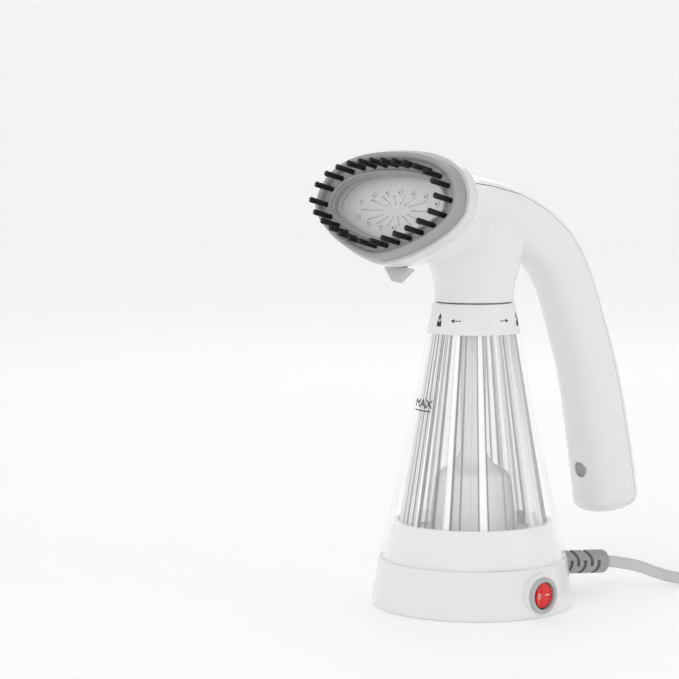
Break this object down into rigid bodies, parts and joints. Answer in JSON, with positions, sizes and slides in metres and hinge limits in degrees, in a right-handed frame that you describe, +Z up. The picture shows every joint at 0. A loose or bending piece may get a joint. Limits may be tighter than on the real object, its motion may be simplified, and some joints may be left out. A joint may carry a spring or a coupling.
{
  "type": "handheld garment steamer",
  "caption": "Handheld garment steamer with a round base, fluted clear tank, hooked handle and an bristle-brush nozzle that locks on with a quick-turn thread.",
  "frame": {"origin": "centre of the base's flat underside, on the axis of the tank", "axes": "+Z up along the tank's axis, -X the way the nozzle faces, +X the handle's side, -Y the switch's side"},
  "size_m": [0.3789, 0.1884, 0.2976],
  "materials": {
    "white_shell": "glossy white moulded plastic",
    "clear_tank": "clear moulded plastic",
    "steam_dome": "translucent white heat-resistant plastic",
    "grey_trim": "mid-grey satin plastic",
    "pale_grey": "pale grey satin plastic",
    "steam_plate": "pale satin plate",
    "bristle_black": "black nylon bristle tufts",
    "switch_red": "glossy red rocker with white marks",
    "cord_grey": "light grey cord jacket",
    "relief_grey": "mid-grey flexible strain relief",
    "silicone": "soft translucent silicone",
    "foot_rubber": "grey non-slip rubber",
    "black_plastic": "black moulded plastic",
    "alloy": "cast heater alloy",
    "steel": "plated steel",
    "brass": "brass contact"
  },
  "bodies": {
    "base": {"base_housing": "white_shell", "base_bottom_cover": "white_shell", "base_screws": "steel", "rubber_feet": "foot_rubber", "strain_relief": "relief_grey", "cord_in_gland": "cord_grey", "cord_clamp": "black_plastic", "cord_clamp_screw": "steel", "switch_bezel": "pale_grey", "switch_body": "black_plastic", "switch_terminals": "brass", "heater_plate": "alloy", "heating_element": "steel", "heater_gasket": "silicone", "thermostat": "steel", "thermal_fuse": "white_shell", "tank_seat": "white_shell", "tank_o_ring": "silicone", "tank_outer_wall": "clear_tank", "tank_fluted_sleeve": "clear_tank", "steam_dome": "steam_dome", "neck_collar": "white_shell", "inner_wires": "silicone", "power_cord": "cord_grey", "cord_coil": "cord_grey", "cord_tie": "black_plastic", "cord_tail": "cord_grey", "plug_body": "cord_grey", "plug_blades": "brass"},
    "gasket": {"pipe_gasket": "silicone"},
    "head": {"handle_outer_cover": "white_shell", "head_shell": "white_shell", "grip_screw_plug": "grey_trim", "nozzle_bezel": "pale_grey", "steam_plate": "steam_plate", "steam_chamber": "pale_grey", "lever_pin": "steel", "lever_bracket": "white_shell", "lever_spring": "steel", "head_lock_ring": "white_shell", "steam_duct": "pale_grey", "duct_holder": "white_shell"},
    "brush": {"brush_frame": "grey_trim", "bristles": "bristle_black"},
    "lever": {"release_lever": "grey_trim"},
    "rocker": {"rocker": "switch_red"}
  },
  "joints": [
    {"name": "head_lift", "type": "slide", "parent": "base", "child": "gasket", "axis": [0, 0, 1], "range_m": [0, 0.0062]},
    {"name": "head_twist", "type": "hinge", "parent": "gasket", "child": "head", "pos_m": [0, 0, 0.19], "axis": [0, 0, 1], "range_deg": [0, 120]},
    {"name": "brush_off", "type": "slide", "parent": "head", "child": "brush", "axis": [-0.9681, 0, 0.2504], "range_m": [0, 0.03]},
    {"name": "lever_press", "type": "hinge", "parent": "head", "child": "lever", "pos_m": [-0.06289, 0, 0.22918], "axis": [0, -1, 0], "range_deg": [0, 8], "stiffness_Nm_per_rad": 0.05, "springref_deg": -5.73},
    {"name": "rocker_tilt", "type": "hinge", "parent": "base", "child": "rocker", "pos_m": [0, -0.0656, 0.0148], "axis": [0, 0, 1], "range_deg": [-22, 0]}
  ],
  "couplings": [
    {"joint": "head_lift", "follows": "head_twist", "m_per_rad": 0.0028648}
  ]
}
